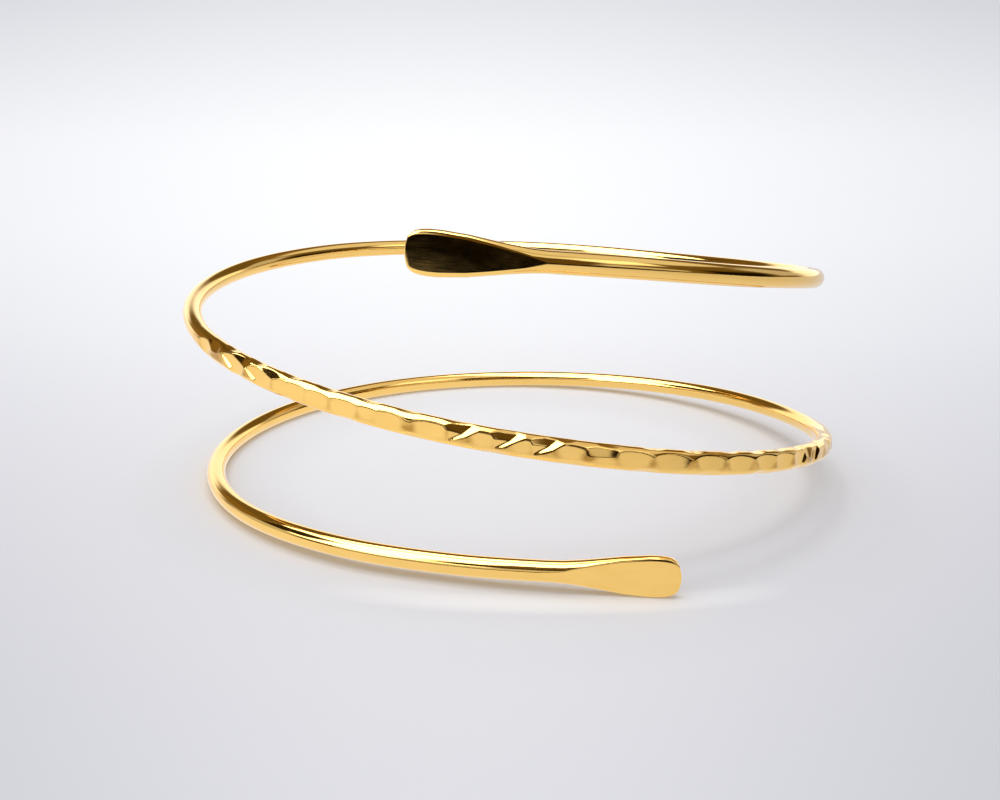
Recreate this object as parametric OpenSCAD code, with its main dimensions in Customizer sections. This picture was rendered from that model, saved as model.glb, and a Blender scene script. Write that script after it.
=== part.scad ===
// Upper arm cuff: one springy round wire, wound a little over two turns round the arm.
// Both ends are flattened into small paddles, and the middle of the wire is hammered into flats.
// The cuff stands on the lower edge of its lower paddle and on the lowest half turn of the wire.

/* [Coil] */
// Thickness of the round wire
wire_d = 2.4; // [2:0.1:2.8]
// Radius of the coil, from its axis to the middle of the wire
coil_r = 42; // [38:0.5:50]
// Height of the upper paddle's middle over the surface
coil_rise = 35.8; // [33:0.1:45]
// How far the coil leans to the left for each millimetre of height
lean_left = 0.051; // [0:0.001:0.08]
// How far the coil leans to the front for each millimetre of height
lean_front = 0.012; // [0:0.001:0.05]

/* [Paddles] */
// Width of the lower paddle
low_paddle_w = 4.6; // [3.6:0.1:5]
// Width of the upper paddle
high_paddle_w = 4.9; // [3.6:0.1:5.4]
// Length of the lower paddle, from its neck to its end
low_paddle_len = 13.5; // [10:0.5:16]
// Length of the upper paddle, from its neck to its end
high_paddle_len = 14.5; // [10:0.5:16]
// How far the middle of each end stands out past its corners
end_bow = 0.35; // [0:0.05:0.6]
// Rounding of the rim at each end
end_round = 0.15; // [0.05:0.05:0.3]

/* [Hammered band] */
// Turn at which the hammer marks start
band_from = 268; // [260:1:290]
// Turn at which the hammer marks end
band_to = 424; // [415:1:440]
// Height of the hammered wire, a little spread by the blows
band_h = 2.7; // [2.4:0.05:3]
// Length over which the round wire turns into the hammered one
band_ease = 6; // [3:0.5:10]
// How much a hammered flat rises towards its ends, for each square millimetre
dish = 0.06; // [0.03:0.01:0.1]

/* [Mesh] */
// Sides of the wire
wire_sides = 16; // [12:2:20]
// Turn between two rings on the plain wire
plain_step = 5; // [3:0.5:8]
// Turn between two rings on the hammered wire
band_step = 0.8; // [0.6:0.1:2]
// Distance between two rings on a paddle
paddle_step = 1.1; // [0.5:0.1:2]

/* [Hidden] */
brass_gold = "#e3b04b";

// The wire's way: turn round the axis in degrees from the front, growing to the left,
// distance of the wire's middle from the coil's radius, and its height over the surface
ROUTE = [
    // [turn, out, up]
    [-20, 6.5, 2.3],
    [-8, 2.6, 2.1],
    [10, -0.1, 1.8],
    [30, -0.4, 1.8],
    [60, -0.3, 1.4],
    [90, -0.2, 1.2],
    [120, -0.2, 1.2],
    [150, -0.1, 1.2],
    [175, 0.1, 1.2],
    [200, 0.1, 1.6],
    [225, 0, 2.4],
    [270, -0.1, 4.8],
    [315, -0.1, 9.9],
    [360, 0, 15.8],
    [405, 0.2, 20.8],
    [450, 0.3, 24.1],
    [495, 0.2, 25.2],
    [540, -0.4, 24.3],
    [585, -1.1, 24],
    [630, -1.8, 26.7],
    [675, -1.5, 31.3],
    [705, -1.3, 34.2],
    [735, -1.4, 35.8],
];

// How far a paddle has spread, from the round wire at 0 to its full width at 1
SPREAD = [
    // [share of the length from the end, share of the spread]
    [0, 1],
    [0.25, 1],
    [0.45, 0.8],
    [0.6, 0.53],
    [0.75, 0.27],
    [0.9, 0.07],
    [1, 0],
    [1.2, 0],
];

// How a paddle's sides draw in towards its end
DRAW_IN = [
    // [distance from the end, share of the width]
    [0, 0.68],
    [0.25, 0.8],
    [0.7, 0.9],
    [1.4, 0.965],
    [2.4, 1],
    [4, 1],
];

// The hammer marks. A mark faces outwards at a tilt of 0 and upwards at a tilt of 90. Its reach is
// what is left between the wire's middle and the flat. Where the tool's edge left a steep end
// wall, three more numbers give the wall's tilt, reach and rise.
MARKS = [
    // [turn, tilt, reach, rise for each millimetre to the left, wall tilt, wall reach, wall rise]
    // The left part: plain ovals, two of them ended by a bright wall
    [417.5, 6, 0.9, 0.02],
    [413.5, 34, 1.06, -0.1],
    [407.3, 2, 0.76, -0.07, 42, -0.2, 0.5],
    [405.3, 36, 1.06, -0.1],
    [400.7, 2, 0.76, -0.07, 42, -0.33, 0.5],
    [398.7, 38, 1.08, -0.1],
    [397, 0, 0.9, 0.02],
    [393.8, 2, 0.86, -0.02],
    [390, 1, 0.85, 0],
    [385.6, 1, 0.84, 0.02],
    [381.7, 4, 0.93, 0],
    [378.2, -1, 0.86, -0.02],
    [372.4, 2, 0.85, 0.02],
    // The middle: dents that slope to the right, each ended by a wall
    [368.4, 3, 0.82, 0.12, 40, 0.62, -0.31],
    [368.6, 23, 0.9, 0.16, 40, 0.575, -0.31],
    [365, 4, 0.9, 0.03],
    [361.9, 3, 0.76, 0.14, 40, 0.62, -0.31],
    [362.2, 23, 0.88, 0.16, 40, 0.55, -0.31],
    [359.4, 4, 0.91, 0],
    [356.5, 3, 0.76, 0.14, 40, 0.62, -0.31],
    [356.8, 22, 0.88, 0.16, 40, 0.55, -0.31],
    [352.8, 4, 0.9, 0.02],
    [348.2, 15, 0.95, 0.02],
    [347.6, -6, 0.96, 0],
    // The right part: plain ovals again, then small steep cuts
    [343.2, 3, 0.82, 0],
    [337, 6, 0.81, -0.02],
    [330.7, 7, 0.82, 0.03],
    [324.3, 5, 0.82, -0.02],
    [318.8, 7, 0.85, 0.02],
    [313.8, 5, 0.84, 0],
    [308.6, 6, 0.82, 0.06, 20, 0.28, -0.5],
    [305.4, 24, 0.97, 0],
    [303, 8, 0.88, 0.12, 24, 0.3, -0.5],
    [298.5, 0, 0.98, 0],
    [294.5, 26, 1.02, 0.1],
    [290.5, 2, 1.0, 0],
    [286, 20, 1.06, 0],
    [279, 0, 1.08, 0],
    // Shallow marks along the underside
    [279, -50, 1.15, 0],
    [289, -42, 1.12, 0],
    [299, -55, 1.14, 0],
    [308, -45, 1.12, 0],
    [319, -52, 1.14, 0],
    [330, -44, 1.12, 0],
    [341, -55, 1.14, 0],
    [352, -46, 1.12, 0],
    [363, -52, 1.14, 0],
    [374, -44, 1.14, 0],
    [385, -54, 1.18, 0],
    [396, -46, 1.18, 0],
    [407, -52, 1.2, 0],
    // And along the upper side, where they make the outline wavy
    [289, 80, 1.22, 0],
    [299, 88, 1.22, 0],
    [308, 84, 1.2, 0],
    [314, 92, 1.22, 0],
    [320, 84, 1.2, 0],
    [326, 92, 1.22, 0],
    [333, 84, 1.2, 0],
    [340, 90, 1.22, 0],
    [347, 70, 1.22, 0],
    [354, 74, 1.2, 0],
    [361, 70, 1.22, 0],
    [369, 88, 1.22, 0],
    [376, 90, 1.22, 0],
    [382, 92, 1.21, 0],
    [389, 90, 1.2, 0],
    [395.5, 92, 1.2, 0],
    [403, 90, 1.19, 0],
    [410, 92, 1.21, 0],
];

// Smooth reading of a table's column: each stretch is a cubic whose slopes blend the secants
function secant(t, c, i) = (t[i + 1][c] - t[i][c]) / (t[i + 1][0] - t[i][0]);
function blended(t, c, i) =
    let (before = t[i][0] - t[i - 1][0], after = t[i + 1][0] - t[i][0])
    (secant(t, c, i - 1) * after + secant(t, c, i) * before) / (before + after);
function slope(t, c, i) =
    i == 0 ? 1.5 * secant(t, c, 0) - 0.5 * blended(t, c, 1) :
    i == len(t) - 1 ? 1.5 * secant(t, c, i - 1) - 0.5 * blended(t, c, i - 1) :
    blended(t, c, i);
function row_before(t, at, i = 0) = i < len(t) - 2 && at >= t[i + 1][0] ? row_before(t, at, i + 1) : i;
function smooth(t, c, at) =
    let (
        i = row_before(t, at),
        gap = t[i + 1][0] - t[i][0],
        x = (at - t[i][0]) / gap,
        low_part = (2 * x ^ 3 - 3 * x ^ 2 + 1) * t[i][c] + (x ^ 3 - 2 * x ^ 2 + x) * gap * slope(t, c, i),
        high_part = (3 * x ^ 2 - 2 * x ^ 3) * t[i + 1][c] + (x ^ 3 - x ^ 2) * gap * slope(t, c, i + 1)
    )
    low_part + high_part;
// Straight reading between a table's rows, held at its last row
function straight(t, c, at) = lookup(at, [for (row = t) [row[0], row[c]]]);
function mix(a, b, share) = a + (b - a) * share;
function unit(v) = v / norm(v);

// The wire's middle at a turn
turn_from = ROUTE[0][0];
turn_to = ROUTE[len(ROUTE) - 1][0];
rise_scale = coil_rise / ROUTE[len(ROUTE) - 1][2];
rest_up = wire_d / 2;
function height(turn) = rest_up + (smooth(ROUTE, 2, turn) - rest_up) * rise_scale;
function middle(turn) =
    let (r = coil_r + smooth(ROUTE, 1, turn), z = height(turn))
    [-r * sin(turn) - lean_left * z, -r * cos(turn) - lean_front * z, z];

// Directions at a turn: along the wire, outwards from the axis, and up across the wire
probe = 0.5;
function along(turn) = unit(middle(turn + probe) - middle(turn - probe));
function outwards(turn) =
    let (a = along(turn), radial = [-sin(turn), -cos(turn), 0])
    unit(radial - a * (radial * a));
function upwards(turn) = cross(along(turn), outwards(turn));

// Millimetres of wire for each degree of turn, and the length between two turns near an end
function pace(turn) = norm(middle(turn + probe) - middle(turn - probe)) / (2 * probe);
function from_low_end(turn) = (turn - turn_from) * pace((turn + turn_from) / 2);
function from_high_end(turn) = (turn_to - turn) * pace((turn + turn_to) / 2);

// A section of the wire is two flats with a round edge above and below. The round wire has flats
// no higher than one of its sides, and a paddle keeps the metal of the wire that it is beaten from.
half_side = 180 / wire_sides;
wire_area = PI / 4 * wire_d ^ 2;
paddle_fill = 0.93;
paddle_edge_r = 1.05;
band_swell = 0.92;
function size_of(spread, full_w) =
    let (
        w = mix(wire_d, full_w, spread),
        t = wire_area / (w * mix(PI / 4, paddle_fill, spread)),
        r = mix(wire_d / 2, paddle_edge_r, spread),
        b = min(r - sqrt(max(0, r ^ 2 - t ^ 2 / 4)), t * (1 - sin(half_side)) / 2)
    )
    [w, t * mix(cos(half_side), 1, min(1, 4 * spread)), b];
// One round edge: an arc over a chord as wide as the section is thick
function round_edge(t, b, top) =
    let (
        r = (t ^ 2 / 4 + b ^ 2) / (2 * b),
        half_arc = 2 * atan2(b, t / 2),
        steps = wire_sides / 2 - 1
    )
    [for (k = [0:steps]) let (a = mix(half_arc, -half_arc, k / steps)) [r * sin(a), top - r + r * cos(a)]];
// The whole outline, from the outer flat's top corner over the back and round by the bottom
function outline(size) =
    let (upper = round_edge(size[1], size[2], size[0] / 2))
    concat(upper, [for (p = upper) -p]);

// What the hammer leaves between the wire's middle and the surface, in a direction across the wire
mark_half = 6;
least_facing = 0.3;
function left_by(mark, turn, angle) =
    let (
        d = (turn - mark[0]) * PI / 180 * coil_r,
        facing = cos(angle - mark[1]),
        wall = len(mark) == 7 ? (mark[5] + mark[6] * d) / max(least_facing, cos(angle - mark[4])) : 0
    )
    abs(d) > mark_half || facing < least_facing ? wire_d :
    max(wall, (mark[2] + mark[3] * d + dish * d ^ 2) / facing);
function hammered(p, turn) =
    let (angle = atan2(p[1], p[0]), r = norm(p))
    p / r * min(concat([r], [for (mark = MARKS) left_by(mark, turn, angle)]));
function band_share(turn) =
    let (inside = min(turn - band_from, band_to - turn) * PI / 180 * coil_r / band_ease)
    max(0, min(1, inside));

// One ring of points across the wire: the end rings bow outwards and draw in
function paddle_share(turn) =
    turn < 180 ? [from_low_end(turn), low_paddle_len, low_paddle_w, -1]
               : [from_high_end(turn), high_paddle_len, high_paddle_w, 1];
function ring(turn, rim = 0) =
    let (
        paddle = paddle_share(turn),
        spread = straight(SPREAD, 1, paddle[0] / paddle[1]),
        plain = size_of(spread, paddle[2]),
        swell = band_share(turn),
        size = [
            plain[0] * straight(DRAW_IN, 1, paddle[0]) + (band_h - wire_d) * swell - 2 * rim,
            plain[1] * mix(1, band_swell, swell) - 2 * rim,
            plain[2] * mix(1, band_h / wire_d, swell) - rim / 2
        ],
        shape = outline(size),
        c = middle(turn),
        a = along(turn),
        o = outwards(turn),
        u = upwards(turn),
        bow = end_bow * max(0, 1 - paddle[0] / 3) * paddle[3],
        half_w = paddle[2] * DRAW_IN[0][1] / 2
    )
    [
        for (p = shape)
            let (q = swell > 0 ? hammered(p, turn) : p)
            c + o * q[0] + u * q[1] - a * bow * min(1, (q[1] / half_w) ^ 2)
    ];

// The turns at which the rings stand: close on the paddles and the hammered band
function turns_between(a, b, step) =
    let (n = ceil((b - a) / step))
    [for (k = [0:n - 1]) mix(a, b, k / n)];
low_neck = turn_from + low_paddle_len / pace(turn_from);
high_neck = turn_to - high_paddle_len / pace(turn_to);
low_round = turn_from + end_round / pace(turn_from);
high_round = turn_to - end_round / pace(turn_to);
turns = concat(
    turns_between(low_round, low_neck, paddle_step / pace(turn_from)),
    turns_between(low_neck, band_from, plain_step),
    turns_between(band_from, band_to, band_step),
    turns_between(band_to, high_neck, plain_step),
    turns_between(high_neck, high_round, paddle_step / pace(turn_to)),
    [high_round]
);
rings = concat([ring(turn_from, end_round)], [for (turn = turns) ring(turn)], [ring(turn_to, end_round)]);

// The rings as one list of points, moved so that the cuff stands on the surface, centred on the axes
loose = [for (r = rings) for (p = r) p];
xs = [for (p = loose) p[0]];
ys = [for (p = loose) p[1]];
zs = [for (p = loose) p[2]];
centre = [(min(xs) + max(xs)) / 2, (min(ys) + max(ys)) / 2, min(zs)];
points = [for (p = loose) p - centre];
side_faces = [
    for (i = [0:len(rings) - 2])
        for (j = [0:wire_sides - 1])
            let (
                a = i * wire_sides + j,
                b = i * wire_sides + (j + 1) % wire_sides,
                c = b + wire_sides,
                d = a + wire_sides
            )
            each [[a, c, b], [a, d, c]]
];
last_ring = (len(rings) - 1) * wire_sides;
low_end_face = [for (j = [0:wire_sides - 1]) j];
high_end_face = [for (j = [wire_sides - 1:-1:0]) last_ring + j];

module arm_cuff() {
    color(brass_gold)
        polyhedron(points = points, faces = concat(side_faces, [low_end_face, high_end_face]), convexity = 6);
}

arm_cuff();
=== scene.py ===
# %% [markdown]
# An upper arm cuff of gold-coloured brass wire, rendered as it stands on a pale table.
# The real one is a single springy wire, wound a little over two turns. Each end is beaten into a
# small paddle, and the middle of the wire carries hammered flats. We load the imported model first,
# because it fixes the size and the place of everything that follows.

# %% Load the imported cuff
import math
import bpy
import numpy as np
from mathutils import Matrix, Vector


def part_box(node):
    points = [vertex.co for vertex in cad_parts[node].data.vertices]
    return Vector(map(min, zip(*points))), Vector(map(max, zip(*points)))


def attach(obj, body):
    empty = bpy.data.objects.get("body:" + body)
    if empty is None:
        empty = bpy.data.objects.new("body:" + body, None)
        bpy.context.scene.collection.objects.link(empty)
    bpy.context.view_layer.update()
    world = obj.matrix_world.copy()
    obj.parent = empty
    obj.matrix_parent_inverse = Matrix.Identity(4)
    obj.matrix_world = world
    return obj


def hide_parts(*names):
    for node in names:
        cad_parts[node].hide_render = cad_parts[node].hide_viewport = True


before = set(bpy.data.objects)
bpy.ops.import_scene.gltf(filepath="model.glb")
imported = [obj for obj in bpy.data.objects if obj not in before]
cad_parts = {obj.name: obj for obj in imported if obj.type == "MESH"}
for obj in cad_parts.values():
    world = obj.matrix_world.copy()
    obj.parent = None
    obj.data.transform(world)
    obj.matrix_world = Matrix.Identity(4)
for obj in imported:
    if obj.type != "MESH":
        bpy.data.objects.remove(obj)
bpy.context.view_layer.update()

MM = 0.001

# %% [markdown]
# The wire's way comes next. A coil like this could be a plain helix, but a real one is bent by hand:
# it lies flat where it rests, climbs across the front, dips at the back and climbs again.
# A short table gives the distance from the axis and the height at chosen turns, as in the solid
# model, and a cubic that blends the slopes of its neighbours joins the rows without a kink.

# %% The coil's sizes and its route
# Radius of the coil and thickness of the wire in mm, then the lean in mm for each mm of height
COIL_R = 42.0
WIRE_D = 2.4
LEAN_LEFT = 0.051
LEAN_FRONT = 0.012
# Turn in degrees from the front and growing to the left, distance from COIL_R, height in mm
ROUTE = np.array([
    (-20, 6.5, 2.3), (-8, 2.6, 2.1), (10, -0.1, 1.8), (30, -0.4, 1.8), (60, -0.3, 1.4),
    (90, -0.2, 1.2), (120, -0.2, 1.2), (150, -0.1, 1.2), (175, 0.1, 1.2), (200, 0.1, 1.6),
    (225, 0, 2.4), (270, -0.1, 4.8), (315, -0.1, 9.9), (360, 0, 15.8), (405, 0.2, 20.8),
    (450, 0.3, 24.1), (495, 0.2, 25.2), (540, -0.4, 24.3), (585, -1.1, 24), (630, -1.8, 26.7),
    (675, -1.5, 31.3), (705, -1.3, 34.2), (735, -1.4, 35.8),
])
TURN_FROM, TURN_TO = ROUTE[0, 0], ROUTE[-1, 0]
print(len(ROUTE), "rows of route, from turn", TURN_FROM, "to", TURN_TO)

# %% How the route is read


def smooth(table, column, at):
    """Reads a column of a table along cubics whose slopes blend the secants on both sides."""
    x, y = table[:, 0], table[:, column]
    gap = np.diff(x)
    secant = np.diff(y) / gap
    blended = (secant[:-1] * gap[1:] + secant[1:] * gap[:-1]) / (gap[:-1] + gap[1:])
    first = 1.5 * secant[0] - 0.5 * blended[0]
    last = 1.5 * secant[-1] - 0.5 * blended[-1]
    slope = np.concatenate([[first], blended, [last]])
    i = np.clip(np.searchsorted(x, at, side="right") - 1, 0, len(gap) - 1)
    s = (at - x[i]) / gap[i]
    near = (2 * s**3 - 3 * s**2 + 1) * y[i] + (s**3 - 2 * s**2 + s) * gap[i] * slope[i]
    far = (3 * s**2 - 2 * s**3) * y[i + 1] + (s**3 - s**2) * gap[i] * slope[i + 1]
    return near + far


def middle(turn):
    """The wire's middle at an array of turns, in mm."""
    a = np.radians(turn)
    r = COIL_R + smooth(ROUTE, 1, turn)
    z = smooth(ROUTE, 2, turn)
    return np.stack([-r * np.sin(a) - LEAN_LEFT * z, -r * np.cos(a) - LEAN_FRONT * z, z], axis=-1)


def unit(v):
    """The same directions with a length of 1."""
    return v / np.linalg.norm(v, axis=-1, keepdims=True)


def over_one_degree(turn):
    """The way that the wire's middle makes over the degree about each turn, in mm."""
    return middle(turn + 0.5) - middle(turn - 0.5)


def along(turn):
    """The direction of the wire at an array of turns."""
    return unit(over_one_degree(turn))


def outwards(turn):
    """The direction away from the coil's axis, square to the wire."""
    a = np.radians(turn)
    radial = np.stack([-np.sin(a), -np.cos(a), np.zeros_like(a)], axis=-1)
    ahead = along(turn)
    return unit(radial - ahead * np.sum(radial * ahead, axis=-1, keepdims=True))


def pace(turn):
    """Millimetres of wire for one degree of turn."""
    return np.linalg.norm(over_one_degree(np.asarray(turn, float)), axis=-1)


LENGTH_SAMPLES = 3000
every_turn = np.linspace(TURN_FROM, TURN_TO, LENGTH_SAMPLES)
wire_length = np.sum(np.linalg.norm(np.diff(middle(every_turn), axis=0), axis=1))
print(f"the wire is {wire_length:.0f} mm long over {TURN_TO - TURN_FROM:.0f} degrees of turn")

# %% [markdown]
# Along the way the section changes: round wire, two beaten paddles, and a band that the hammer
# has spread a little. Every section is two flats with a round edge above and below, so one rule
# covers them all: the round wire is the case in which the flats have no height.

# %% The paddles and the hammered band
# Lengths in mm, turns in degrees
LOW_PADDLE = dict(width=4.6, length=13.5)
HIGH_PADDLE = dict(width=4.9, length=14.5)
# How far the middle of an end stands out, and how far along the paddle that reaches
END_BOW, BOW_REACH = 0.35, 3.0
END_ROUND = 0.15
# Below this turn the nearer end is the lower paddle
MIDWAY = 180
BAND_FROM, BAND_TO = 268.0, 424.0
BAND_H = 2.7
BAND_EASE = 6.0
# Shares of the round wire's thickness, and of the box around a paddle's section
BAND_SWELL = 0.92
PADDLE_FILL = 0.93
PADDLE_EDGE_R = 1.05
# Share of a paddle's length from its end, share of its full spread
SPREAD = np.array([
    (0, 1), (0.25, 1), (0.45, 0.8), (0.6, 0.53), (0.75, 0.27), (0.9, 0.07), (1, 0)
])
# Distance from the end in mm, share of the width
DRAW_IN = np.array([(0, 0.68), (0.25, 0.8), (0.7, 0.9), (1.4, 0.965), (2.4, 1)])


def mix(a, b, share):
    """The value that lies a share of the way from a to b."""
    return a + (b - a) * share


def section_sizes(turn, rim):
    """Width, thickness, edge bulge, end bow and hammered share at each turn, in mm."""
    low = turn < MIDWAY
    from_end = np.where(
        low,
        (turn - TURN_FROM) * pace((turn + TURN_FROM) / 2),
        (TURN_TO - turn) * pace((turn + TURN_TO) / 2),
    )
    length = np.where(low, LOW_PADDLE["length"], HIGH_PADDLE["length"])
    full_w = np.where(low, LOW_PADDLE["width"], HIGH_PADDLE["width"])
    spread = np.interp(from_end / length, SPREAD[:, 0], SPREAD[:, 1])
    wire_area = math.pi / 4 * WIRE_D**2
    width = mix(WIRE_D, full_w, spread)
    thick = wire_area / (width * mix(math.pi / 4, PADDLE_FILL, spread))
    # The edges keep the roundness of the wire and get tighter only where it is beaten out
    edge_r = mix(WIRE_D / 2, PADDLE_EDGE_R, spread)
    bulge = edge_r - np.sqrt(np.maximum(edge_r**2 - thick**2 / 4, 0))
    to_band_end = np.minimum(turn - BAND_FROM, BAND_TO - turn) * pace(turn)
    beaten = np.clip(to_band_end / BAND_EASE, 0, 1)
    bow = END_BOW * np.clip(1 - from_end / BOW_REACH, 0, 1) * np.where(low, -1, 1)
    return dict(
        wide=width * np.interp(from_end, DRAW_IN[:, 0], DRAW_IN[:, 1])
        + (BAND_H - WIRE_D) * beaten - 2 * rim,
        thick=thick * mix(1, BAND_SWELL, beaten) - 2 * rim,
        bulge=bulge * mix(1, BAND_H / WIRE_D, beaten) - rim / 2,
        bow=bow,
        bow_half=full_w * DRAW_IN[0, 1] / 2,
        beaten=beaten,
    )


end_sizes = section_sizes(np.array([TURN_FROM, TURN_TO]), 0)
print("the paddles are", np.round(end_sizes["thick"], 2), "mm thick at their ends")

# %% The stations at which the section is drawn
# Steps along the wire in mm. The flats need close rings, and their steep walls the closest
PLAIN_STEP = 1.2
BAND_STEP = 0.14
WALL_STEP = 0.05
WALLS_AT = [(353, 370), (399, 411)]
PADDLE_STEP = 0.3
ROUND_RINGS = 4


def stations(turn_a, turn_b, step):
    """Turns from one turn up to another, about step mm apart, without the last."""
    count = math.ceil((turn_b - turn_a) * float(pace((turn_a + turn_b) / 2)) / step)
    return np.linspace(turn_a, turn_b, count, endpoint=False)


low_neck = TURN_FROM + LOW_PADDLE["length"] / float(pace(TURN_FROM))
high_neck = TURN_TO - HIGH_PADDLE["length"] / float(pace(TURN_TO))
# A quarter circle rounds each end: rings that sink in as they near the end face
swing = np.linspace(0, math.pi / 2, ROUND_RINGS + 1)[:-1]
sink = END_ROUND * (1 - np.sin(swing))
reach_in = END_ROUND * (1 - np.cos(swing))
low_end = TURN_FROM + reach_in / float(pace(TURN_FROM))
high_end = TURN_TO - reach_in[::-1] / float(pace(TURN_TO))
low_round = TURN_FROM + END_ROUND / float(pace(TURN_FROM))
high_round = TURN_TO - END_ROUND / float(pace(TURN_TO))
between = np.concatenate([
    stations(low_round, low_neck, PADDLE_STEP),
    stations(low_neck, BAND_FROM, PLAIN_STEP),
    stations(BAND_FROM, WALLS_AT[0][0], BAND_STEP),
    stations(*WALLS_AT[0], WALL_STEP),
    stations(WALLS_AT[0][1], WALLS_AT[1][0], BAND_STEP),
    stations(*WALLS_AT[1], WALL_STEP),
    stations(WALLS_AT[1][1], BAND_TO, BAND_STEP),
    stations(BAND_TO, high_neck, PLAIN_STEP),
    stations(high_neck, high_round, PADDLE_STEP),
    [high_round],
])
ring_turns = np.concatenate([low_end, between, high_end])
ring_rims = np.concatenate([sink, np.zeros(len(between)), sink[::-1]])
print(len(ring_turns), "rings along the wire")

# %% [markdown]
# The hammered flats are a chart of blows: where each one fell, which way it faces, how much metal
# it left, and how it slopes. A sculpted displacement could look alike from one side, but a
# chart of planes cuts true flats with crisp ridges, and it can be read and changed like a list.

# %% The chart of hammer marks
# How much a flat rises towards its ends for each square mm, and half the length of a blow in mm
DISH = 0.06
MARK_HALF = 6.0
NO_WALL = (0, -99, 0)
# Turn, tilt from outwards (0) to upwards (90), metal left in mm, rise per mm to the left. Where
# the tool's edge left a steep end wall: the wall's tilt, metal and rise
MARKS = [
    # The left part: plain ovals, two of them ended by a bright wall
    (417.5, 6, 0.9, 0.02), (413.5, 34, 1.06, -0.1),
    (407.3, 2, 0.76, -0.07, 42, -0.2, 0.5), (405.3, 36, 1.06, -0.1),
    (400.7, 2, 0.76, -0.07, 42, -0.33, 0.5), (398.7, 38, 1.08, -0.1), (397, 0, 0.9, 0.02),
    (393.8, 2, 0.86, -0.02), (390, 1, 0.85, 0), (385.6, 1, 0.84, 0.02), (381.7, 4, 0.93, 0),
    (378.2, -1, 0.86, -0.02), (372.4, 2, 0.85, 0.02),
    # The middle: dents that slope to the right, each ended by a wall
    (368.4, 3, 0.82, 0.12, 40, 0.62, -0.31), (368.6, 23, 0.9, 0.16, 40, 0.575, -0.31),
    (365, 4, 0.9, 0.03), (361.9, 3, 0.76, 0.14, 40, 0.62, -0.31),
    (362.2, 23, 0.88, 0.16, 40, 0.55, -0.31), (359.4, 4, 0.91, 0),
    (356.5, 3, 0.76, 0.14, 40, 0.62, -0.31), (356.8, 22, 0.88, 0.16, 40, 0.55, -0.31),
    (352.8, 4, 0.9, 0.02), (348.2, 15, 0.95, 0.02), (347.6, -6, 0.96, 0),
    # The right part: plain ovals again, then small steep cuts
    (343.2, 3, 0.82, 0), (337, 6, 0.81, -0.02), (330.7, 7, 0.82, 0.03), (324.3, 5, 0.82, -0.02),
    (318.8, 7, 0.85, 0.02), (313.8, 5, 0.84, 0), (308.6, 6, 0.82, 0.06, 20, 0.28, -0.5),
    (305.4, 24, 0.97, 0), (303, 8, 0.88, 0.12, 24, 0.3, -0.5), (298.5, 0, 0.98, 0),
    (294.5, 26, 1.02, 0.1), (290.5, 2, 1.0, 0), (286, 20, 1.06, 0), (279, 0, 1.08, 0),
    # Shallow marks along the underside
    (279, -50, 1.15, 0), (289, -42, 1.12, 0), (299, -55, 1.14, 0), (308, -45, 1.12, 0),
    (319, -52, 1.14, 0), (330, -44, 1.12, 0), (341, -55, 1.14, 0), (352, -46, 1.12, 0),
    (363, -52, 1.14, 0), (374, -44, 1.14, 0), (385, -54, 1.18, 0), (396, -46, 1.18, 0),
    (407, -52, 1.2, 0),
    # And along the upper side, where they make the outline wavy
    (289, 80, 1.22, 0), (299, 88, 1.22, 0), (308, 84, 1.2, 0), (314, 92, 1.22, 0),
    (320, 84, 1.2, 0), (326, 92, 1.22, 0), (333, 84, 1.2, 0), (340, 90, 1.22, 0),
    (347, 70, 1.22, 0), (354, 74, 1.2, 0), (361, 70, 1.22, 0), (369, 88, 1.22, 0),
    (376, 90, 1.22, 0), (382, 92, 1.21, 0), (389, 90, 1.2, 0), (395.5, 92, 1.2, 0),
    (403, 90, 1.19, 0), (410, 92, 1.21, 0),
]
MARKS = [row if len(row) == 7 else (*row, *NO_WALL) for row in MARKS]
print(len(MARKS), "hammer marks")

# %% [markdown]
# Node trees get long when every sum is its own call. One small class wraps a socket and takes the
# usual signs, so a formula reads like a formula and adds its Math nodes by itself. The same
# class serves the geometry tree of the wire and the shader trees of the metal and the stage.

# %% Formulas that write nodes


class Tree:
    """Adds nodes to a node tree: node() takes the kind, its settings and what its sockets get."""

    def __init__(self, tree):
        self.tree = tree

    def node(self, kind, settings=None, **sockets):
        made = self.tree.nodes.new(kind)
        for name, value in (settings or {}).items():
            setattr(made, name, value)
        for name, value in sockets.items():
            self.feed(made, name, value)
        return made

    def feed(self, made, name, value):
        """Sets or links the input called name, where _ stands for a space and a digit for a place."""
        wanted = name.replace("_", " ").strip()
        if wanted.isdigit():
            socket = made.inputs[int(wanted)]
        else:
            exact = [s for s in made.inputs if s.identifier == name]
            socket = (exact or [s for s in made.inputs if s.name.lower() == wanted.lower()])[0]
        if isinstance(value, Signal):
            value = value.socket
        if isinstance(value, bpy.types.NodeSocket):
            self.tree.links.new(value, socket)
        else:
            socket.default_value = value

    def out(self, made, name=0):
        return Signal(self, made.outputs[name])

    def maths(self, operation, *values):
        made = self.node("ShaderNodeMath", dict(operation=operation))
        for place, value in enumerate(values):
            self.feed(made, str(place), value)
        return self.out(made)

    def vector(self, operation, *values, scale=None):
        made = self.node("ShaderNodeVectorMath", dict(operation=operation))
        for place, value in enumerate(values):
            self.feed(made, str(place), value)
        if scale is not None:
            self.feed(made, "Scale", scale)
        return self.out(made)


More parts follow.
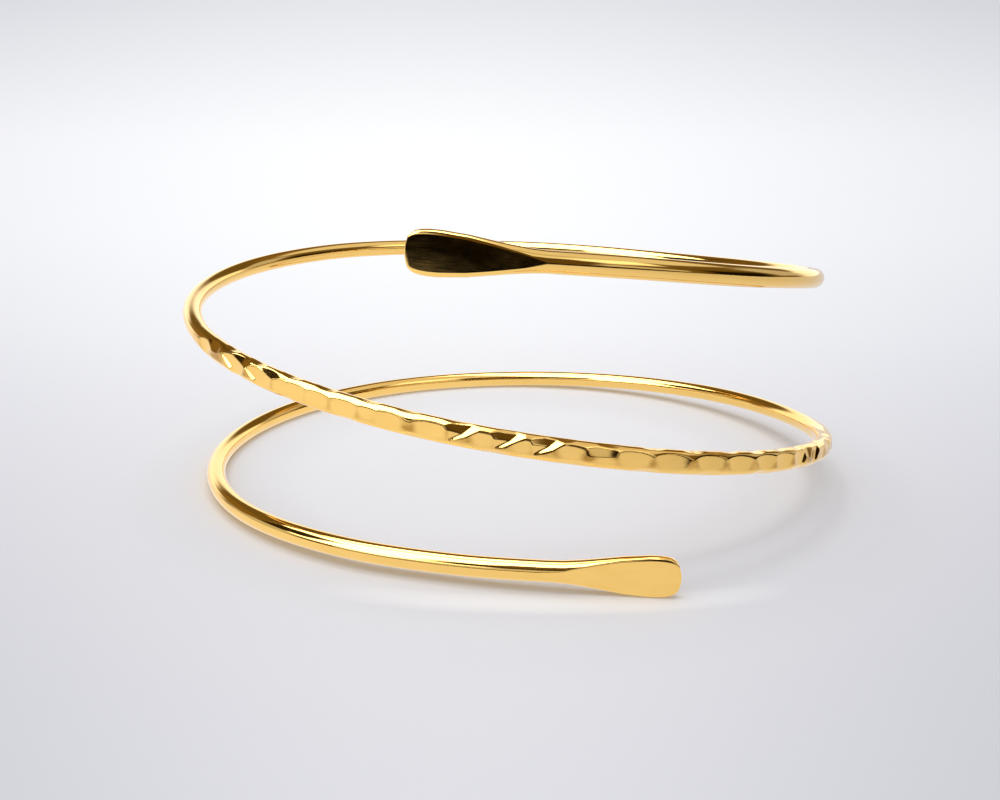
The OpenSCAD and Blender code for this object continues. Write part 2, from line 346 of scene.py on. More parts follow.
class Signal:
    """A socket that can be added, multiplied and compared like a number."""

    def __init__(self, tree, socket):
        self.tree = tree
        self.socket = socket

    def _with(self, operation, *values):
        return self.tree.maths(operation, *values)

    def __add__(self, other):
        return self._with("ADD", self, other)

    def __radd__(self, other):
        return self._with("ADD", other, self)

    def __sub__(self, other):
        return self._with("SUBTRACT", self, other)

    def __rsub__(self, other):
        return self._with("SUBTRACT", other, self)

    def __mul__(self, other):
        return self._with("MULTIPLY", self, other)

    def __rmul__(self, other):
        return self._with("MULTIPLY", other, self)

    def __truediv__(self, other):
        return self._with("DIVIDE", self, other)

    def __rtruediv__(self, other):
        return self._with("DIVIDE", other, self)

    def __pow__(self, other):
        return self._with("POWER", self, other)

    def __abs__(self):
        return self._with("ABSOLUTE", self)

    def __lt__(self, other):
        return self._with("LESS_THAN", self, other)

    def __gt__(self, other):
        return self._with("GREATER_THAN", self, other)

    def at_most(self, other):
        return self._with("MINIMUM", self, other)

    def at_least(self, other):
        return self._with("MAXIMUM", self, other)

    def root(self):
        return self._with("SQRT", self)

    def sin(self):
        return self._with("SINE", self)

    def cos(self):
        return self._with("COSINE", self)


def share_of(value, low, high):
    """How far a value has got from low to high: 0 at and below low, 1 at and above high."""
    return ((value - low) / (high - low)).at_least(0.0).at_most(1.0)


def eased(share):
    """The same share with a soft start and a soft end."""
    return share * share * (3.0 - 2.0 * share)


# %% [markdown]
# The wire itself is a main piece that follows rules, so Geometry Nodes make it. A rail carries the
# sizes worked out above as attributes, a ring of points is swept along it, and each point is then
# put on the section's outline. A repeat zone goes through the chart and lets each blow cut what
# stands beyond its plane. Sweeping first and shaping after keeps the mesh free of seams.

# %% The rail and the chart as small meshes


def added(name, data):
    """Puts new data into the scene as an object."""
    made = bpy.data.objects.new(name, data)
    bpy.context.collection.objects.link(made)
    return made


def points_mesh(name, places, edges, columns):
    """A mesh of points, with a column of numbers or of vectors for each attribute."""
    mesh = bpy.data.meshes.new(name)
    mesh.from_pydata([tuple(p) for p in places], edges, [])
    for column, values in columns.items():
        values = np.asarray(values, np.float32)
        kind, field = ("FLOAT", "value") if values.ndim == 1 else ("FLOAT_VECTOR", "vector")
        mesh.attributes.new(column, kind, "POINT").data.foreach_set(field, values.ravel())
    return added(name, mesh)


ring_middles = middle(ring_turns)
run = np.concatenate([[0], np.cumsum(np.linalg.norm(np.diff(ring_middles, axis=0), axis=1))])
rail = points_mesh(
    "rail",
    ring_middles,
    [(i, i + 1) for i in range(len(ring_turns) - 1)],
    dict(
        turn=ring_turns,
        run=run,
        middle=ring_middles,
        ahead=along(ring_turns),
        outward=outwards(ring_turns),
        **section_sizes(ring_turns, ring_rims),
    ),
)
marks_table = np.array(MARKS, float)
chart = points_mesh(
    "chart",
    np.zeros((len(MARKS), 3)),
    [],
    dict(
        at_turn=marks_table[:, 0],
        tilt=np.radians(marks_table[:, 1]),
        left=marks_table[:, 2],
        rise=marks_table[:, 3],
        wall_tilt=np.radians(marks_table[:, 4]),
        wall_left=marks_table[:, 5],
        wall_rise=marks_table[:, 6],
    ),
)
print("the rail has", len(rail.data.vertices), "points and the chart", len(chart.data.vertices))

# %% The tree's inputs and the small steps it is made of
# Sides of the wire's section, more of them on the outer half, where the flats are
OUTER_SIDES = 40
INNER_SIDES = 20
TREE_INPUTS = [
    ("Chart", "NodeSocketObject", chart),
    ("Outer sides", "NodeSocketInt", OUTER_SIDES),
    ("Inner sides", "NodeSocketInt", INNER_SIDES),
    ("Coil radius", "NodeSocketFloat", COIL_R),
    ("Mark half length", "NodeSocketFloat", MARK_HALF),
    ("Dish", "NodeSocketFloat", DISH),
    ("Metre scale", "NodeSocketFloat", MM),
]


def new_tree(name, inputs):
    """A geometry tree with named inputs, and its group input's sockets by name."""
    group = bpy.data.node_groups.new(name, "GeometryNodeTree")
    group.interface.new_socket("Geometry", in_out="INPUT", socket_type="NodeSocketGeometry")
    group.interface.new_socket("Geometry", in_out="OUTPUT", socket_type="NodeSocketGeometry")
    for label, kind, _ in inputs:
        group.interface.new_socket(label, in_out="INPUT", socket_type=kind)
    group.interface.new_socket("Material", in_out="INPUT", socket_type="NodeSocketMaterial")
    tree = Tree(group)
    entry = tree.node("NodeGroupInput")
    return tree, {s.name: Signal(tree, s) for s in entry.outputs if s.name}


def attribute(tree, name, kind="FLOAT"):
    """Reads what the geometry carries under a name."""
    return tree.out(tree.node("GeometryNodeInputNamedAttribute", dict(data_type=kind), Name=name))


def keep(tree, geometry, name, value, kind="FLOAT"):
    """Stores a value on each point of the geometry under a name."""
    made = tree.node(
        "GeometryNodeStoreNamedAttribute", dict(data_type=kind, domain="POINT"),
        Geometry=geometry, Name=name, Value=value,
    )
    return tree.out(made)


# %% The section's outline as formulas
# The part of each quarter turn, seen from the section's middle, that belongs to the flat
FLAT_ZONE = math.radians(22.5)
# Keeps the sign of a sine or cosine from being zero
NUDGE = 1e-9


def ring_angle(tree, entry):
    """The angle of each point of the swept ring: the outer half is drawn more finely."""
    index = tree.out(tree.node("GeometryNodeInputIndex"))
    outer, inner = entry["Outer sides"], entry["Inner sides"]
    on_outer = index / outer
    on_inner = ((index - outer) / inner).at_least(0.0)
    return (on_outer.at_most(1.0) + on_inner) * math.pi - math.pi / 2


def on_outline(tree, angle):
    """Where a point of the ring lies on the section: distance outwards, and height."""
    wide, thick, bulge = (attribute(tree, name) for name in ("wide", "thick", "bulge"))
    edge_r = (thick * thick * 0.25 + bulge * bulge) / (bulge * 2.0)
    edge_centre = wide * 0.5 - edge_r
    flat_half = wide * 0.5 - bulge
    zone_half = flat_half.at_least(wide * (0.5 * math.sin(FLAT_ZONE)))
    # Half the thickness of the section at the height where the flat zone meets the edge
    zone_over = zone_half - edge_centre
    zone_x = (edge_r * edge_r - zone_over * zone_over).at_least(0.0).root()
    zone_arc = tree.maths("ARCTAN2", zone_x, zone_over)
    side = tree.maths("SIGN", angle.sin() + NUDGE)
    facing = tree.maths("SIGN", angle.cos() + NUDGE)
    lift = tree.maths("ARCSINE", abs(angle.sin()).at_most(1.0))
    in_flat = lift < FLAT_ZONE
    # On the edge, an even walk round its arc
    swing = zone_arc * (math.pi / 2 - lift) / (math.pi / 2 - FLAT_ZONE)
    edge_x = edge_r * swing.sin()
    edge_y = edge_centre + edge_r * swing.cos()
    # On the flat zone, the outline's half thickness at an even height
    flat_y = zone_half * lift.sin() / math.sin(FLAT_ZONE)
    over = (flat_y - edge_centre).at_least(0.0)
    arc_x = (edge_r * edge_r - over * over).at_least(0.0).root()
    flat_x = arc_x.at_most(thick * 0.5)
    x = flat_x * in_flat + edge_x * (1.0 - in_flat)
    y = flat_y * in_flat + edge_y * (1.0 - in_flat)
    return x * facing, y * side


# %% The blows of the hammer
# A blow reaches only the metal that faces it: the least cosine between the two
LEAST_FACING = 0.3


def beat(tree, entry, geometry):
    """Goes through the chart: each mark limits the metal left on the side that it faces."""
    chart_shape = tree.out(
        tree.node("GeometryNodeObjectInfo", Object=entry["Chart"]), "Geometry"
    )
    count = tree.out(
        tree.node("GeometryNodeAttributeDomainSize", dict(component="MESH"), Geometry=chart_shape)
    )
    start = tree.node("GeometryNodeRepeatInput")
    end = tree.node("GeometryNodeRepeatOutput")
    start.pair_with_output(end)
    tree.feed(start, "Iterations", count)
    tree.feed(start, "Geometry", geometry)

    def row(name):
        made = tree.node(
            "GeometryNodeSampleIndex", dict(data_type="FLOAT", domain="POINT"),
            Geometry=chart_shape, Value=attribute(tree, name), Index=tree.out(start, "Iteration"),
        )
        return tree.out(made)

    to_left = (attribute(tree, "turn") - row("at_turn")) * (math.pi / 180) * entry["Coil radius"]
    facing = (attribute(tree, "around") - row("tilt")).cos()
    plane = row("left") + row("rise") * to_left + entry["Dish"] * to_left * to_left
    reached = (abs(to_left) < entry["Mark half length"]) * (facing > LEAST_FACING)
    # A wall keeps the metal on its own side, however deep the mark goes
    wall_facing = (attribute(tree, "around") - row("wall_tilt")).cos().at_least(LEAST_FACING)
    wall = (row("wall_left") + row("wall_rise") * to_left) / wall_facing
    limit = (plane / facing.at_least(LEAST_FACING)).at_least(wall) + (1.0 - reached) * WIRE_D
    left = attribute(tree, "metal").at_most(limit)
    tree.feed(end, "Geometry", keep(tree, tree.out(start, "Geometry"), "metal", left))
    return tree.out(end, "Geometry")


# %% The whole tree
# The polishing wheel goes over the ridges this often and this hard
POLISH_ROUNDS, POLISH_WEIGHT = 1, 0.7
# A ridge, which the material paints with shade, keeps this share of the metal and faces outwards this
# much: from none to fully
RIDGE_METAL = (0.86, 0.96)
RIDGE_FACING = (0.8, 0.95)


def ridge_share(tree, share):
    """1 on the ridges between two blows and 0 in their flats, where the material paints shade."""
    level_side = attribute(tree, "around").cos()
    ridge = share_of(share, *RIDGE_METAL) * share_of(level_side, *RIDGE_FACING)
    return ridge * attribute(tree, "beaten")


def on_the_coil(tree, entry, x, y):
    """Carries a point of the section to its place on the coil, in metres."""
    outward = attribute(tree, "outward", "FLOAT_VECTOR")
    ahead = attribute(tree, "ahead", "FLOAT_VECTOR")
    upward = tree.vector("CROSS_PRODUCT", ahead, outward)
    corner = (y / attribute(tree, "bow_half")) ** 2.0
    bow = attribute(tree, "bow") * corner.at_most(1.0)
    place = attribute(tree, "middle", "FLOAT_VECTOR")
    place = tree.vector("ADD", place, tree.vector("SCALE", outward, scale=x))
    place = tree.vector("ADD", place, tree.vector("SCALE", upward, scale=y))
    place = tree.vector("SUBTRACT", place, tree.vector("SCALE", ahead, scale=bow))
    return tree.vector("SCALE", place, scale=entry["Metre scale"])


def wire_tree():
    """Sweeps a ring along the rail, shapes it, beats it and puts it on the coil."""
    tree, entry = new_tree("beaten_wire", TREE_INPUTS)
    sides = entry["Outer sides"] + entry["Inner sides"]
    ring = tree.out(tree.node("GeometryNodeCurvePrimitiveCircle", Resolution=sides))
    ring = keep(tree, ring, "station", ring_angle(tree, entry))
    path = tree.out(tree.node("GeometryNodeMeshToCurve", Mesh=entry["Geometry"]))
    swept = tree.out(tree.node(
        "GeometryNodeCurveToMesh", Curve=path, Profile_Curve=ring, Fill_Caps=True
    ))
    x, y = on_outline(tree, attribute(tree, "station"))
    swept = keep(tree, swept, "out_by", x)
    swept = keep(tree, swept, "up_by", y)
    x, y = attribute(tree, "out_by"), attribute(tree, "up_by")
    swept = keep(tree, swept, "around", tree.maths("ARCTAN2", y, x))
    swept = keep(tree, swept, "metal", (x * x + y * y).root())
    beaten = beat(tree, entry, swept)
    polished = tree.node(
        "GeometryNodeBlurAttribute", dict(data_type="FLOAT"),
        Value=attribute(tree, "metal"), Iterations=POLISH_ROUNDS, Weight=POLISH_WEIGHT,
    )
    beaten = keep(tree, beaten, "metal", tree.out(polished))
    full = (x * x + y * y).root()
    cut = attribute(tree, "metal") / full
    share = 1.0 + (cut - 1.0) * (attribute(tree, "beaten") > 0.0)
    # Where the material paints shade on the ridges
    beaten = keep(tree, beaten, "seam", ridge_share(tree, share))
    x, y = x * share, y * share
    # The same point with the wire pulled straight, so that a pattern can follow the wire
    straight = tree.node("ShaderNodeCombineXYZ", X=attribute(tree, "run"), Y=x, Z=y)
    beaten = keep(tree, beaten, "straight", tree.out(straight), "FLOAT_VECTOR")
    shaped = tree.out(tree.node(
        "GeometryNodeSetPosition", Geometry=beaten, Position=on_the_coil(tree, entry, x, y)
    ))
    shaped = tree.out(tree.node("GeometryNodeSetShadeSmooth", Geometry=shaped, Shade_Smooth=True))
    shaped = tree.out(tree.node("GeometryNodeRealizeInstances", Geometry=shaped))
    shaped = tree.out(tree.node(
        "GeometryNodeSetMaterial", Geometry=shaped, Material=entry["Material"]
    ))
    tree.node("NodeGroupOutput", Geometry=shaped)
    return tree.tree


# %% Sweep the wire and turn it into a plain mesh


def grown(source, group, inputs, material, name):
    """Runs a geometry tree on an object and returns the result as a mesh object of its own."""
    modifier = source.modifiers.new(name, "NODES")
    modifier.node_group = group
    ids = {s.name: s.identifier for s in group.interface.items_tree if s.in_out == "INPUT"}
    for label, _, value in inputs:
        modifier[ids[label]] = value
    modifier[ids["Material"]] = material
    source.update_tag()
    graph = bpy.context.evaluated_depsgraph_get()
    mesh = bpy.data.meshes.new_from_object(source.evaluated_get(graph), depsgraph=graph)
    source.modifiers.remove(modifier)
    mesh.name = name
    return added(name, mesh)


gold = bpy.data.materials.new("gold_brass")
gold.use_nodes = True
cuff = grown(rail, wire_tree(), TREE_INPUTS, gold, "beaten_wire")
for helper in (rail, chart):
    bpy.data.objects.remove(helper)

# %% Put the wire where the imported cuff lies
spots = np.empty(len(cuff.data.vertices) * 3, np.float32)
cuff.data.vertices.foreach_get("co", spots)
spots = spots.reshape(-1, 3).astype(float)
loose_low, loose_high = spots.min(axis=0), spots.max(axis=0)
box_low, box_high = (np.array(corner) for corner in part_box("arm_cuff"))
shift = (box_low + box_high - loose_low - loose_high) / 2
shift[2] = box_low[2] - loose_low[2]
cuff.data.transform(Matrix.Translation(shift))
print("the wire has", len(cuff.data.polygons), "faces; it moved by", np.round(shift / MM, 3), "mm")
print("attributes:", [a.name for a in cuff.data.attributes])

# %% [markdown]
# The camera comes before any material, because polished metal looks different from every place.
# The coil's near side is drawn much larger than its far side in the photograph, so the lens is
# close to it. Its distance, its height and its aim came out of the same fit as the route.

# %% The camera
LENS = 43.2
SENSOR = 36.0
CLIP_NEAR, CLIP_FAR = 0.01, 20
# Distance and aim in mm
CAMERA_AWAY = 168.353
CAMERA_AIM = (-2.627, 0, 8.936)
CAMERA_UP = math.radians(15.448)
CAMERA_ROLL = math.radians(-0.109)
aim = np.array(CAMERA_AIM) * MM + shift
look = Vector((0, math.cos(CAMERA_UP), -math.sin(CAMERA_UP)))
camera_data = bpy.data.cameras.new("camera")
camera_data.lens = LENS
camera_data.sensor_width = SENSOR
camera_data.clip_start = CLIP_NEAR
camera_data.clip_end = CLIP_FAR
camera = added("camera", camera_data)
camera.rotation_mode = "QUATERNION"
upright = look.to_track_quat("-Z", "Y")
camera.rotation_quaternion = upright @ Matrix.Rotation(-CAMERA_ROLL, 3, "Z").to_quaternion()
camera.location = Vector(aim) - look * CAMERA_AWAY * MM
bpy.context.scene.camera = camera
print("camera at", [round(v / MM, 1) for v in camera.location])

# %% [markdown]
# The metal is brass with a bright gold plating. A plated mirror finish is one of the simplest
# metals to shade: full metallic, a warm base colour and little roughness. What makes it look real
# is what it reflects, and the faint lines that drawing and polishing leave along the wire.

# %% Patterns that run along the wire
GOLD = (1.0, 0.652, 0.2)
WORN_GOLD = (0.95, 0.6, 0.17)
RIDGE_SHADE_GOLD = (0.5, 0.26, 0.05)
shader = Tree(gold.node_tree)
gold.node_tree.nodes.clear()
# Along the wire, outwards and upwards, in mm: the attribute that the wire's tree stored
along_wire = shader.out(
    shader.node("ShaderNodeAttribute", dict(attribute_name="straight")), "Vector"
)


def pattern(stretch, scale, detail=2.0):
    """Noise in the wire's own frame, drawn out along it."""
    place = shader.vector("MULTIPLY", along_wire, stretch)
    made = shader.node("ShaderNodeTexNoise", Vector=place, Scale=scale, Detail=detail)
    return shader.out(made, "Fac")


# Hairlines from drawing and polishing, soft stains of the plating, and a hand-made waviness
hairlines = pattern(stretch=(0.06, 1, 1), scale=9.0)
stains = pattern(stretch=(0.35, 1, 1), scale=0.6, detail=3.0)
waviness = pattern(stretch=(0.5, 1, 1), scale=0.9, detail=1.0)

# %% The gold's colour
# A noise is read as a share between two of its values
STAINED = (0.42, 0.72)
WAVED = (0.35, 0.6)
WORN_SHARE = 0.7
# The ridges between two blows are painted dark brown as shade: the least share, and what varies
RIDGE_LEAST, RIDGE_MORE = 0.35, 0.6
wear = share_of(stains, *STAINED)
tone = shader.node(
    "ShaderNodeMix", dict(data_type="RGBA"),
    Factor_Float=wear * WORN_SHARE, A_Color=(*GOLD, 1.0), B_Color=(*WORN_GOLD, 1.0),
)
ridges = shader.out(shader.node("ShaderNodeAttribute", dict(attribute_name="seam")), "Fac")
ridge_shade_tone = shader.node(
    "ShaderNodeMix", dict(data_type="RGBA"),
    Factor_Float=ridges * (RIDGE_LEAST + RIDGE_MORE * share_of(waviness, *WAVED)),
    A_Color=shader.out(tone, 2), B_Color=(*RIDGE_SHADE_GOLD, 1.0),
)
print("the gold's base is", GOLD, "and wears to", WORN_GOLD)

# %% The gold's polish
# Strength and depth in m of two bumps, then the bare roughness and what lines and wear add to it
LINE_BUMP = dict(Strength=0.02, Distance=0.00001)
WAVE_BUMP = dict(Strength=0.03, Distance=0.00005)
POLISHED, LINES_ADD, WEAR_ADDS = 0.06, 0.03, 0.03
LINED = (0.4, 0.65)
lines = shader.node("ShaderNodeBump", **LINE_BUMP, Height=hairlines)
waves = shader.node("ShaderNodeBump", **WAVE_BUMP, Height=waviness, Normal=shader.out(lines))
metal = shader.node(
    "ShaderNodeBsdfPrincipled", Base_Color=shader.out(ridge_shade_tone, 2), Metallic=1.0,
    Roughness=POLISHED + LINES_ADD * share_of(hairlines, *LINED) + WEAR_ADDS * wear,
    Normal=shader.out(waves),
)
shader.node("ShaderNodeOutputMaterial", Surface=shader.out(metal))
print("roughness from", POLISHED, "to", round(POLISHED + LINES_ADD + WEAR_ADDS, 3))

# %% [markdown]
# The cuff stands on a pale paper sweep. In the photograph the paper glows behind the cuff and
# dims towards the front and the sides, and no horizon shows. One sheet that runs back and then
# curves up has no edge to hide. Its paint carries the broad gradient, and the lamps only have
# to add the soft shadow. Painting is simpler than a lamp for every falloff, and it stays put.

# %% How bright the paper is: its light and shade are painted into its colour
PAPER = 0.875
# Distance behind the cuff in m, share of the paper's full brightness
DEPTH_GLOW = [
    (-0.15, 0.665), (-0.06, 0.752), (0.0, 0.812), (0.09, 0.935), (0.25, 1.0), (0.7, 1.0),
    (1.4, 0.99),
]
# To the sides it falls off like a fan that opens from the camera's foot, GLOW_FROM in front of
# the cuff. FAN_WAIST keeps the fan's narrow end from closing
SIDE_FALL, SIDE_REACH = 0.37, 0.305
GLOW_SHIFT = 0.066
GLOW_FROM = 0.166
FAN_WAIST = 0.03
# Upwards it falls by HEIGHT_FALL for each m, as far as HEIGHT_REACH
HEIGHT_FALL, HEIGHT_REACH = 0.9, 0.3
# What is dimmer is also a little bluer
DIM_BLUE = 0.17
# The painted bright line of the wire's thrown light in front of the cuff: its middle, its bend, and
# its half sizes in m
LINE_X, LINE_Y, LINE_BEND = 0.004, -0.0461, 6.5
LINE_REACH = 0.026
LINE_HALF = 0.0026
CAUSTIC_GLOW = 0.2


def ramp_of(tree, value, rows):
    """A smooth curve through rows of (place, value), read at a signal."""
    low, high = rows[0][0], rows[-1][0]
    made = tree.node("ShaderNodeValToRGB")
    stops = made.color_ramp.elements
    made.color_ramp.interpolation = "B_SPLINE"
    while len(stops) < len(rows):
        stops.new(1.0)
    for stop, (place, level) in zip(stops, rows):
        stop.position = (place - low) / (high - low)
        stop.color = (level, level, level, 1.0)
    tree.feed(made, "Fac", (value - low) / (high - low))
    return tree.out(made)


def new_material(name):
    """A material with an empty tree, and that tree."""
    material = bpy.data.materials.new(name)
    material.use_nodes = True
    material.node_tree.nodes.clear()
    return material, Tree(material.node_tree)


paper, tree = new_material("pale_paper")
spot = tree.node("ShaderNodeTexCoord")
parts = tree.node("ShaderNodeSeparateXYZ", Vector=tree.out(spot, "Object"))
across, back, up = (tree.out(parts, axis) for axis in "XYZ")
depth = ramp_of(tree, back, DEPTH_GLOW)
fan = ((back + GLOW_FROM) * (back + GLOW_FROM) + FAN_WAIST * FAN_WAIST).root()
spread = across / fan + GLOW_SHIFT
spread = spread * spread
level = 1.0 - SIDE_FALL * spread / (spread + SIDE_REACH)
level = depth * level * (1.0 - up.at_most(HEIGHT_REACH) * HEIGHT_FALL)
# A painted bright line on the paper stands for the light that the polished wire throws, just in front
# of its own shadow
along_line = (across - LINE_X) / LINE_REACH
off_line = (back - LINE_Y - (across - LINE_X) * (across - LINE_X) * LINE_BEND) / LINE_HALF
line = (1.0 - off_line * off_line).at_least(0.0) * (1.0 - along_line * along_line).at_least(0.0)
level = level * (1.0 + line * CAUSTIC_GLOW)
blue = 1.0 + (1.0 - level) * DIM_BLUE
tint = tree.node("ShaderNodeCombineXYZ", X=level, Y=level, Z=level * blue)
tint = tree.vector("SCALE", tree.out(tint), scale=PAPER)
matt = tree.node(
    "ShaderNodeBsdfPrincipled", Base_Color=tint, Roughness=1.0, Specular_IOR_Level=0.0
)
tree.node("ShaderNodeOutputMaterial", Surface=tree.out(matt))

# %% The paper sweep
SWEEP_SIDE = 4.0
SWEEP_FRONT = -3.0
CURVE_STARTS = 1.0
CURVE_R = 1.6
CURVE_STEPS = 16
SWEEP_TOP = 3.0
bend = [math.radians(90 / CURVE_STEPS * i) for i in range(CURVE_STEPS + 1)]
profile = [(SWEEP_FRONT, 0.0)]
profile += [(CURVE_STARTS + CURVE_R * math.sin(a), CURVE_R * (1 - math.cos(a))) for a in bend]
profile += [(CURVE_STARTS + CURVE_R, SWEEP_TOP)]
sweep_mesh = bpy.data.meshes.new("paper_sweep")
sweep_mesh.from_pydata(
    [(x, y, z) for y, z in profile for x in (-SWEEP_SIDE, SWEEP_SIDE)],
    [],
    [(2 * i, 2 * i + 1, 2 * i + 3, 2 * i + 2) for i in range(len(profile) - 1)],
)
sweep_mesh.materials.append(paper)
sweep_mesh.polygons.foreach_set("use_smooth", [True] * len(sweep_mesh.polygons))
sweep = added("paper_sweep", sweep_mesh)
sweep.visible_glossy = False
print("the paper curves up", CURVE_STARTS, "m behind the cuff")

# %% [markdown]
# Polished metal shows its surroundings more than itself, so the studio is built for it: a big
# soft window over the left, paler walls on the other sides, and dark shades that stand before
# them. Each is a glowing card with soft edges that only reflections see. The table that the wire
# mirrors is one too, because a real one fades towards the camera and the paper sweep does not.

# %% What the metal mirrors
# A card dimmer than SHADE_BELOW has the colour of shade, a brighter one is white
SHADE_BELOW = 0.5
SHADE_TINT = (1.0, 0.62, 0.15)
# Name, azimuth and elevation in degrees (0 the camera, 90 the right), half width and half
# height in degrees, soft share of the edge, strength, distance in m
CARDS = [
    ("window_left", -58, 50, 33, 37, 0.15, 4.5, 1.6),
    ("wall_right", 50, 42, 16, 16, 0.5, 1.5, 1.5),
    ("wall_front", 16, 48, 36, 26, 0.4, 0.85, 1.9),
    ("wall_back", 180, 10, 60, 16, 0.5, 1.3, 1.8),
    ("wall_back_right", 120, 20, 14, 18, 0.5, 0.55, 1.7),
    ("ceiling_right", 90, 60, 30, 16, 0.6, 0.6, 1.6),
    ("wall_back_high", 165, 50, 34, 14, 0.5, 0.22, 1.7),
    ("wall_back_left", -132, 56, 26, 22, 0.4, 0.1, 1.8),
    ("shade_back_left", -122, 20, 20, 12, 0.5, 0.22, 0.8),
    ("shade_left", -92, 33, 15, 15, 0.3, 0.02, 0.9),
    ("shade_front", 9, 26, 20, 22, 0.3, 0.02, 0.7),
    ("shade_front_left", -25, 33, 14, 13, 0.3, 0.02, 0.75),
    ("shade_right", 88, 6, 20, 20, 0.5, 0.01, 0.7),
    ("shade_camera", 3, 31, 22, 11, 0.3, 0.11, 0.1),
    ("wall_low", 0, 14, 70, 10, 0.3, 0.66, 1.5),
    ("wall_left_low", -100, 8, 24, 13, 0.5, 0.6, 1.5),
    ("shade_low", 0, -4, 60, 6, 0.4, 0.01, 1.4),
]
# Name, soft share of the edge, strength, height in m, middle and half size in m as seen from above
OVERHEAD = [
    ("window_over", 0.15, 4.5, 1.0, (-0.45, 0.15), (0.65, 0.45)),
    ("ceiling_over", 0.4, 0.8, 1.05, (0.6, 0.25), (0.7, 0.6)),
]


def only_reflected(obj):
    """Leaves an object to the reflections: nothing else sees it or is shaded by it."""
    obj.visible_camera = False
    obj.visible_diffuse = False
    obj.visible_shadow = False
    obj.visible_transmission = False
    obj.visible_volume_scatter = False


def soft_card(name, azimuth, elevation, half_wide, half_high, soft, strength, away):
    """A glowing card that faces the cuff, whose light fades out towards its edges."""
    a, e = math.radians(azimuth), math.radians(elevation)
    towards = Vector((math.sin(a) * math.cos(e), -math.cos(a) * math.cos(e), math.sin(e)))
    aside = Vector((math.cos(a), math.sin(a), 0))
    upward = aside.cross(towards)
    wide, high = (away * math.tan(math.radians(h)) for h in (half_wide, half_high))
    mesh = bpy.data.meshes.new(name)
    signs = ((-1, -1), (1, -1), (1, 1), (-1, 1))
    mesh.from_pydata(
        [towards * away + aside * (sx * wide) + upward * (sy * high) for sx, sy in signs],
        [], [(0, 1, 2, 3)],
    )
    corners = mesh.uv_layers.new(name="card")
    for loop, (sx, sy) in zip(corners.data, signs):
        loop.uv = (sx, sy)
    material, tree = new_material(name)
    corner = tree.out(tree.node("ShaderNodeUVMap", dict(uv_map="card")))
    place = tree.node("ShaderNodeSeparateXYZ", Vector=corner)
    inside = 1.0
    for axis in ("X", "Y"):
        inside = eased(share_of(1.0 - abs(tree.out(place, axis)), 0.0, soft)) * inside
    tint = (1.0, 1.0, 1.0) if strength > SHADE_BELOW else SHADE_TINT
    glow = tree.node("ShaderNodeEmission", Color=(*tint, 1.0), Strength=strength)
    clear = tree.node("ShaderNodeBsdfTransparent")
    both = tree.node("ShaderNodeMixShader")
    tree.feed(both, "0", inside)
    tree.feed(both, "1", tree.out(clear))
    tree.feed(both, "2", tree.out(glow))
    tree.node("ShaderNodeOutputMaterial", Surface=tree.out(both))
    mesh.materials.append(material)
    made = added(name, mesh)
    only_reflected(made)
    return made


for card in CARDS:
    soft_card(*card)
for name, soft, strength, up_by, centre, half in OVERHEAD:
    # A card that reaches 45 degrees to every side is as wide as it is far away
    above = soft_card(name, 0, 90, 45, 45, soft, strength, up_by)
    squeeze = Matrix.Diagonal((*half, 1, 1))
    above.data.transform(Matrix.Translation((*centre, 0)) @ squeeze)
print(len(CARDS) + len(OVERHEAD), "cards stand round the cuff")

# %% The dim room and the mirrored table
ROOM_GLOW = (0.15, 0.1, 0.025)
ROOM_R = 3.5
TABLE_GLOW = 0.9
TABLE_WHITE = (1.0, 0.985, 0.99)
# In m: left, right, front and back of the table, and where it comes up out of the dark
TABLE_SIDES = (-1.2, 1.2, -0.3, 1.6)
TABLE_EDGE = (-0.23, -0.14)
# It dims to the right by TABLE_FALL within TABLE_REACH m, and brightens half as much to the left
TABLE_FALL, TABLE_REACH, LEFT_REACH = 0.22, 0.11, -0.5
room_material, tree = new_material("dim_room")
glow = tree.node("ShaderNodeEmission", Color=(*ROOM_GLOW, 1.0), Strength=1.0)
tree.node("ShaderNodeOutputMaterial", Surface=tree.out(glow))
bpy.ops.mesh.primitive_uv_sphere_add(radius=ROOM_R, segments=48, ring_count=24)
room = bpy.context.object
room.name = "dim_room"
room.data.materials.append(room_material)
only_reflected(room)

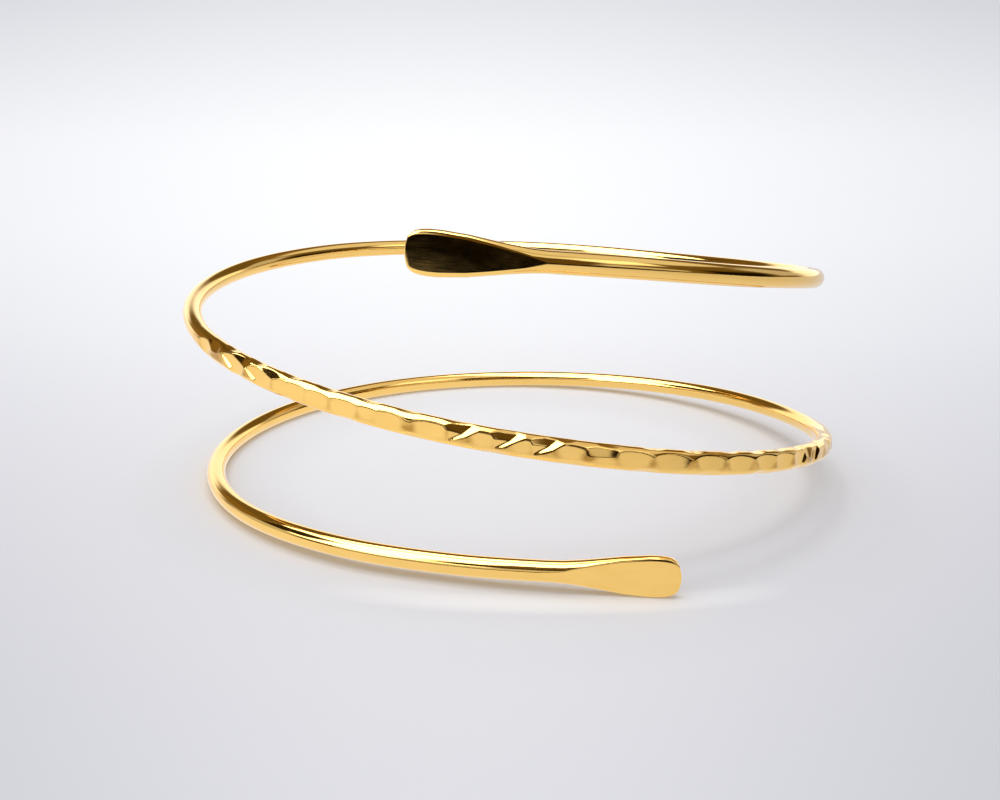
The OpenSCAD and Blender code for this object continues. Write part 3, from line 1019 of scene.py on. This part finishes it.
mirrored, tree = new_material("mirrored_table")
spot = tree.node("ShaderNodeTexCoord")
parts = tree.node("ShaderNodeSeparateXYZ", Vector=tree.out(spot, "Object"))
across, back = tree.out(parts, "X"), tree.out(parts, "Y")
side = (across / TABLE_REACH).at_least(LEFT_REACH).at_most(1.0)
fade = eased(share_of(back, *TABLE_EDGE)) * TABLE_GLOW * (1.0 - side * TABLE_FALL)
glow = tree.node("ShaderNodeEmission", Color=tree.vector("SCALE", TABLE_WHITE, scale=fade))
tree.node("ShaderNodeOutputMaterial", Surface=tree.out(glow))
table_mesh = bpy.data.meshes.new("mirrored_table")
x0, x1, y0, y1 = TABLE_SIDES
table_mesh.from_pydata([(x0, y0, 0), (x1, y0, 0), (x1, y1, 0), (x0, y1, 0)], [], [(0, 1, 2, 3)])
table_mesh.materials.append(mirrored)
only_reflected(added("mirrored_table", table_mesh))
print(f"the metal mirrors a room of {ROOM_R} m and a table of {x1 - x0:.1f} by {y1 - y0:.1f} m")

# %% [markdown]
# The paper itself needs very little light. A pale sky lights it evenly from all sides, and one
# broad sun from almost straight above leaves the faint, wide shadow that the photograph shows
# under the wire. The metal doesn't mirror that sun, because the cards already do that work.

# %% The lamps that light the paper
SKY = (0.97, 0.98, 1.0)
SKY_STRENGTH = 0.86
SUN_BREADTH = math.radians(50)
SUN_STRENGTH = 1.23
SUN_TURN = (math.radians(-6), math.radians(-4), 0)
world = bpy.data.worlds.new("pale_world")
bpy.context.scene.world = world
world.use_nodes = True
sky = world.node_tree.nodes["Background"]
sky.inputs["Color"].default_value = (*SKY, 1.0)
sky.inputs["Strength"].default_value = SKY_STRENGTH

sun_data = bpy.data.lights.new("overhead", "SUN")
sun_data.angle = SUN_BREADTH
sun_data.energy = SUN_STRENGTH
overhead = added("overhead", sun_data)
overhead.rotation_euler = SUN_TURN
overhead.visible_glossy = False

bpy.context.scene.view_settings.view_transform = "Standard"
print("a sky of", SKY_STRENGTH, "and a sun of", SUN_STRENGTH)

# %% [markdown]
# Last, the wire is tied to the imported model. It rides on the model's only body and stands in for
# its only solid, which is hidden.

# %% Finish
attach(cuff, "root")
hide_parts("arm_cuff")
